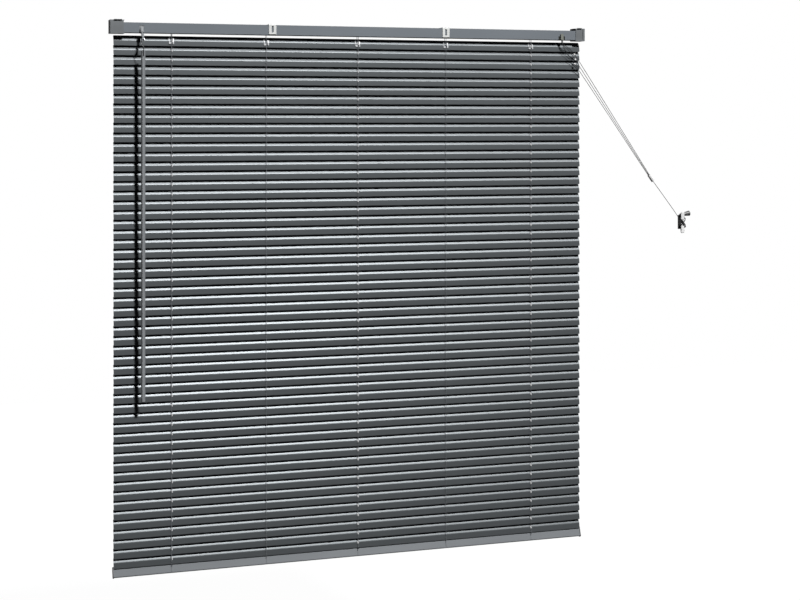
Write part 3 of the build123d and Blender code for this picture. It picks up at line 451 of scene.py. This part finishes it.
for number, x in enumerate(LADDERS, 1):
    verts, faces = [], []
    tube(verts, faces, waver(x, front_y, spread_z, front_end[1]), STRING / 2)
    strings = mesh_piece(f"ladder_strings_{number}", verts, faces, string_braid, sharp=60)
    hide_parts(f"ladder_{number}")
    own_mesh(strings)
    verts, faces = [], []
    tube(verts, faces, waver(x, back_y, spread_z, back_end_z), STRING / 2)
    backs = mesh_piece(f"ladder_back_{number}", verts, faces, string_braid, sharp=60)
    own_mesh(backs)
    verts, faces = [], []
    for index in range(SLAT_COUNT):
        level = TOP_SLAT_Z - index * SLAT_PITCH
        ends = []
        for side in (1, -1):
            along = (side * string_reach - rung_out * sin(SLAT_TILT)) / cos(SLAT_TILT)
            ends.append(section_point(along, rung_out, RAIL_Y, level))
        for shift in (RUNG_CROSSING, -RUNG_CROSSING):
            tube(verts, faces, [(x + shift, *ends[0]), (x - shift, *ends[1])], RUNG_RADIUS, 5)
    rungs = mesh_piece(f"ladder_rungs_{number}", verts, faces, string_braid, sharp=60)
    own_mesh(rungs)
    verts, faces = [], []
    tube(verts, faces, [(x, front_y, spread_z), (x, RAIL_Y - drum_reach, rod_z)], STRING / 2)
    tube(verts, faces, [(x, back_y, spread_z), (x, RAIL_Y + drum_reach, rod_z)], STRING / 2)
    mesh_piece(f"ladder_top_{number}", verts, faces, string_braid, sharp=60)
    verts, faces = [], []
    tube(verts, faces, [(x, *front_end), (x, *front_tip)], STRING / 2)
    mesh_piece(f"ladder_tail_{number}", verts, faces, string_braid, "bottom", sharp=60)

# Lift cords: the hanging part and the part in the headrail, as separate pieces
LOCK_X = 0.5375
LOCK_REACH = 0.004
LOCK_WALL = 0.001
LANE = 0.0017
lift_y = RAIL_Y - SLAT_CROWN * sin(SLAT_TILT)
cord_z = rail_low.z + RAIL_SHEET + SEAT_GAP + CORD / 2
foot_z = section_point(-BOTTOM_WIDTH / 2 + 0.003, 0, RAIL_Y, BOTTOM_Z)[1] - 0.0005
lanes = (lift_y - LANE, lift_y + LANE, lift_y)
outlets = (LOCK_X - LANE, LOCK_X + LANE, LOCK_X)
outlet_y = rail_low.y - LOCK_REACH + LOCK_WALL + SEAT_GAP + CORD / 2
outlet_z = rail_low.z - RAIL_SHEET
for number, x in enumerate(lift_places, 1):
    verts, faces = [], []
    tube(verts, faces, [(x, lift_y, rail_low.z - 0.0002), (x, lift_y, foot_z)], CORD / 2, 10)
    drop = mesh_piece(f"lift_drop_{number}", verts, faces, lift_braid, sharp=60)
    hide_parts(f"lift_cord_{number}")
    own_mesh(drop)
    lane, out_x = lanes[number - 1], outlets[number - 1]
    route = [(x, lift_y, rail_low.z), (x, lift_y, cord_z - 0.001), (x + 0.001, lift_y, cord_z)]
    if lane != lift_y:
        route += [(x + 0.014, lift_y, cord_z), (x + 0.044, lane, cord_z)]
    route += [(out_x - 0.003, lane, cord_z), (out_x - 0.0009, lane - 0.0009, cord_z)]
    route += [(out_x, lane - 0.003, cord_z), (out_x, outlet_y + 0.001, cord_z)]
    route += [(out_x, outlet_y, cord_z - 0.001), (out_x, outlet_y, outlet_z)]
    verts, faces = [], []
    tube(verts, faces, route, CORD / 2, 10)
    mesh_piece(f"lift_run_{number}", verts, faces, lift_braid, sharp=60)

# Free cords: the routes of the part's source, as smooth splines


def cord_curve(name, points):
    """A cord on one NURBS spline, whose control points are the route's points.

    Its thickness is in the points' radius, because a curve's box grows by that radius.
    """
    curve = bpy.data.curves.new(name, "CURVE")
    curve.dimensions = "3D"
    curve.bevel_depth = 1.0
    curve.bevel_resolution = 3
    curve.resolution_u = 8
    curve.use_fill_caps = True
    spline = curve.splines.new("NURBS")
    spline.points.add(len(points) - 1)
    for target, point in zip(spline.points, points):
        target.co = (*point, 1)
        target.radius = CORD / 2
    spline.order_u = 3
    spline.use_endpoint_u = True
    piece = bpy.data.objects.new(name, curve)
    bpy.context.scene.collection.objects.link(piece)
    curve.materials.append(cord_braid)
    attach(piece, "root")
    return piece


connector_top = Vector((0.786, -0.022, -0.3595))
single_end = Vector((0.8764, -0.017, -0.4706))
connector_axis = (single_end - connector_top).normalized()
connector_end = connector_top + connector_axis * 0.020
across = Vector((connector_axis.z, 0, -connector_axis.x)).normalized()
meet = connector_top + connector_axis * 0.003
pull_routes = (
    [(outlets[0], outlet_y, -0.028), (0.573, -0.0295, -0.072)],
    [
        (outlets[1], outlet_y, -0.0245),
        (0.556, -0.0305, -0.033),
        (0.569, -0.0295, -0.046),
        (0.5885, -0.0285, -0.0695),
    ],
    [
        (outlets[2], outlet_y, -0.0265),
        (0.551, -0.0315, -0.0345),
        (0.5655, -0.0305, -0.050),
        (0.5875, -0.029, -0.0815),
    ],
)
meet_shifts = (0.0017, -0.0017, 0.0)
pull_lines = []
for number, middle in enumerate(pull_routes, 1):
    start = (outlets[number - 1], outlet_y, outlet_z)
    end = meet + across * meet_shifts[number - 1]
    pull = cord_curve(f"pull_line_{number}", [start, *middle, tuple(end)])
    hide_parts(f"pull_cord_{number}")
    pull_lines.append(pull)


def line_points(piece):
    """Points along a cord's own spline, read from its curve with no bevel."""
    piece.data.bevel_depth = 0.0
    line = bpy.data.meshes.new_from_object(piece.evaluated_get(bpy.context.evaluated_depsgraph_get()))
    points = [v.co.copy() for v in line.vertices]
    bpy.data.meshes.remove(line)
    piece.data.bevel_depth = 1.0
    return points


# Beads on the pull cords: turned barrels, one mesh
BEAD_RADIUS = 0.0022
BEAD_HALF = 0.00225
BEAD_SIDES = 16
BEAD_PROFILE = (
    (-1.0, 0.42), (-1.0, 0.72), (-0.8, 0.92), (-0.4, 1.0),
    (0.4, 1.0), (0.8, 0.92), (1.0, 0.72), (1.0, 0.42),
)
bead_places = ((0, 0.5733), (1, 0.5722), (2, 0.5747))
verts, faces = [], []
for line, x in bead_places:
    points = line_points(pull_lines[line])
    index = min(range(1, len(points) - 1), key=lambda i: abs(points[i].x - x))
    before, after = points[index - 1], points[index + 1]
    axis = (after - before).normalized()
    centre = points[index] + axis * ((x - points[index].x) / axis.x)
    side_axis, up_axis = frame_along(axis)
    start = len(verts)
    for reach, radius in BEAD_PROFILE:
        for step in range(BEAD_SIDES):
            angle = 2 * pi * step / BEAD_SIDES
            spoke = side_axis * cos(angle) + up_axis * sin(angle)
            verts.append(centre + axis * reach * BEAD_HALF + spoke * radius * BEAD_RADIUS)
    rings = len(BEAD_PROFILE)
    for ring in range(rings):
        low, high = start + ring * BEAD_SIDES, start + (ring + 1) % rings * BEAD_SIDES
        for step in range(BEAD_SIDES):
            after_step = (step + 1) % BEAD_SIDES
            faces.append((low + step, low + after_step, high + after_step, high + step))
beads = mesh_piece("cord_bead_barrels", verts, faces, white_plastic, sharp=50)
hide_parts("cord_beads")

# Operating cord: from the connector to the cleat, a figure of eight round it, and up to the tassel
CLEAT_X = 0.887
CLEAT_Z = -0.4845
WINDING_TURNS = 4
single_start = connector_end - connector_axis * 0.003


def by_cleat(x, y, z):
    """Point near the cleat: across, out from the wall and up from its middle, in millimetres."""
    return CLEAT_X + x / 1000, -y / 1000, CLEAT_Z + z / 1000


route = [tuple(single_start), (0.8715, -0.0173, -0.4644), by_cleat(-9.3, 15, 8), by_cleat(-7.4, 10.5, -5)]
for turn in range(WINDING_TURNS):
    layer = 1.35 * turn
    shift = 1.45 * (turn - (WINDING_TURNS - 1) / 2)
    out = 0.35 * turn
    route += [by_cleat(-4, 8, -13.2 - layer), by_cleat(4, 8, -13.2 - layer)]
    route += [by_cleat(8.3 + out, 12.5, -11.5 - shift), by_cleat(7 + out, 21.3, -8.5 - shift)]
    route += [by_cleat(0, 22.0, -shift * 0.6), by_cleat(-7 - out, 21.3, 8.5 - shift)]
    route += [by_cleat(-8.3 - out, 12.5, 11.5 - shift)]
    if turn < WINDING_TURNS - 1:
        route += [by_cleat(-4, 8, 13.2 + layer), by_cleat(4, 8, 13.2 + layer)]
        route += [by_cleat(8.3 + out, 12.5, 11.5 + shift), by_cleat(7 + out, 20.3, 8.5 + shift)]
        route += [by_cleat(0, 20.5, shift * 0.6), by_cleat(-7 - out, 20.3, -8.5 + shift)]
        route += [by_cleat(-8.3 - out, 12.5, -11.5 + shift)]
route += [by_cleat(-9.6, 8.6, 16), by_cleat(-7.5, 8.2, 19.0)]
route += [by_cleat(-3.0, 8.2, 19.3), by_cleat(0.5, 8.2, 19.8)]
operating = cord_curve("operating_line", route)
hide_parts("operating_cord", "cord_winding")

# CAD nodes that keep their shape, each with its material
node_materials = {
    "headrail": rail_paint,
    "box_bracket_left": bracket_paint,
    "box_bracket_right": bracket_paint,
    "bracket_gate_left": bracket_paint,
    "bracket_gate_right": bracket_paint,
    "mid_bracket_left": white_paint,
    "mid_bracket_right": white_paint,
    "headrail_cap_left": cap_plastic,
    "headrail_cap_right": cap_plastic,
    "bottom_rail_cap_left": cap_plastic,
    "bottom_rail_cap_right": cap_plastic,
    "bottom_rail": bottom_paint,
    "tilt_rod": steel,
    "wand_hook": wire_steel,
    "tilter_housing": tilter_plastic,
    "worm_wheel": drum_plastic,
    "tilter_stem": stem_plastic,
    "wand": wand_plastic,
    "cord_connector": connector_plastic,
    "cord_cleat": cleat_plastic,
    "cord_lock_body": lock_plastic,
    "cord_lock_roller": brass,
    "tassel": tassel_plastic,
}
for number in range(1, 6):
    node_materials[f"bottom_plug_{number}"] = plug_plastic
    node_materials[f"tilt_drum_{number}"] = drum_plastic
    node_materials[f"drum_cradle_{number}"] = drum_plastic
    node_materials[f"slat_clip_{number}"] = clip_plastic
# Painted shade: the lock's body is darkened to 0.12 of its colour beside its nose, standing in for the shade
# in the notches there
lock_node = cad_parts["cord_lock_body"]
nose_root = lock_node.matrix_world.inverted() @ Vector((0, rail_low.y - RAIL_SHEET, 0))
painted_shade_behind(lock_plastic, nose_root.y, 0.12)
for name, material in node_materials.items():
    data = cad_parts[name].data
    data.materials.clear()
    data.materials.append(material)

# Camera of the photograph
camera_data = bpy.data.cameras.new("camera")
camera_data.lens = 70.9
camera_data.sensor_width = 36
camera_data.shift_y = -0.226
camera_data.clip_end = 60
camera = bpy.data.objects.new("camera", camera_data)
bpy.context.scene.collection.objects.link(camera)
camera.location = (-1.101, -3.699, -0.21475)
camera.rotation_euler = (radians(90), 0, -radians(18.2))
bpy.context.scene.camera = camera


def area_lamp(name, place, target, size, power):
    """A square lamp aimed at a point."""
    lamp = bpy.data.lights.new(name, "AREA")
    lamp.size = size
    lamp.energy = power
    holder = bpy.data.objects.new(name, lamp)
    bpy.context.scene.collection.objects.link(holder)
    holder.location = place
    holder.rotation_euler = (Vector(target) - Vector(place)).to_track_quat("-Z", "Y").to_euler()


area_lamp("key", (2.28, -8.5, 9.1), (0, 0, -0.6), 1.1, 2500)

# Floor and surroundings: white to the camera; to everything else a dark room with a light wall behind
world = bpy.data.worlds.new("world")
bpy.context.scene.world = world
world.use_nodes = True
world_tree = world.node_tree
background = world_tree.nodes["Background"]
rays = world_tree.nodes.new("ShaderNodeLightPath")
direction = world_tree.nodes.new("ShaderNodeTexCoord")
parts = world_tree.nodes.new("ShaderNodeSeparateXYZ")
wall_side = world_tree.nodes.new("ShaderNodeMapRange")
wall_side.inputs["From Min"].default_value = 0.3
wall_side.inputs["From Max"].default_value = 0.9
wall_side.inputs["To Min"].default_value = 0.008
wall_side.inputs["To Max"].default_value = 0.2
strength = world_tree.nodes.new("ShaderNodeMix")
strength.data_type = "FLOAT"
strength.inputs["B"].default_value = 1.0
world_tree.links.new(direction.outputs["Generated"], parts.inputs["Vector"])
world_tree.links.new(parts.outputs["Y"], wall_side.inputs["Value"])
world_tree.links.new(wall_side.outputs["Result"], strength.inputs["A"])
world_tree.links.new(rays.outputs["Is Camera Ray"], strength.inputs["Factor"])
world_tree.links.new(strength.outputs["Result"], background.inputs["Strength"])
background.inputs["Color"].default_value = (1, 1, 1, 1)

FLOOR_Z = -1.75
floor_corners = [(x, y, FLOOR_Z) for x, y in ((-6, -5), (6, -5), (6, 5), (-6, 5))]
floor_mesh = bpy.data.meshes.new("floor")
floor_mesh.from_pydata(floor_corners, [], [(0, 1, 2, 3)])
floor = bpy.data.objects.new("floor", floor_mesh)
bpy.context.scene.collection.objects.link(floor)
floor_material, floor_tree, floor_shader = new_material("floor_paint", (0.05, 0.05, 0.05), 0.9, 0.0, 0.1)
floor_rays = floor_tree.nodes.new("ShaderNodeLightPath")
floor_glow = floor_tree.nodes.new("ShaderNodeMath")
floor_glow.operation = "MULTIPLY"
floor_glow.inputs[1].default_value = 0.98
floor_tree.links.new(floor_rays.outputs["Is Camera Ray"], floor_glow.inputs[0])
floor_shader.inputs["Emission Color"].default_value = (1, 1, 1, 1)
floor_tree.links.new(floor_glow.outputs["Value"], floor_shader.inputs["Emission Strength"])
floor_mesh.materials.append(floor_material)

bpy.context.scene.view_settings.view_transform = "Standard"

bpy.context.view_layer.update()
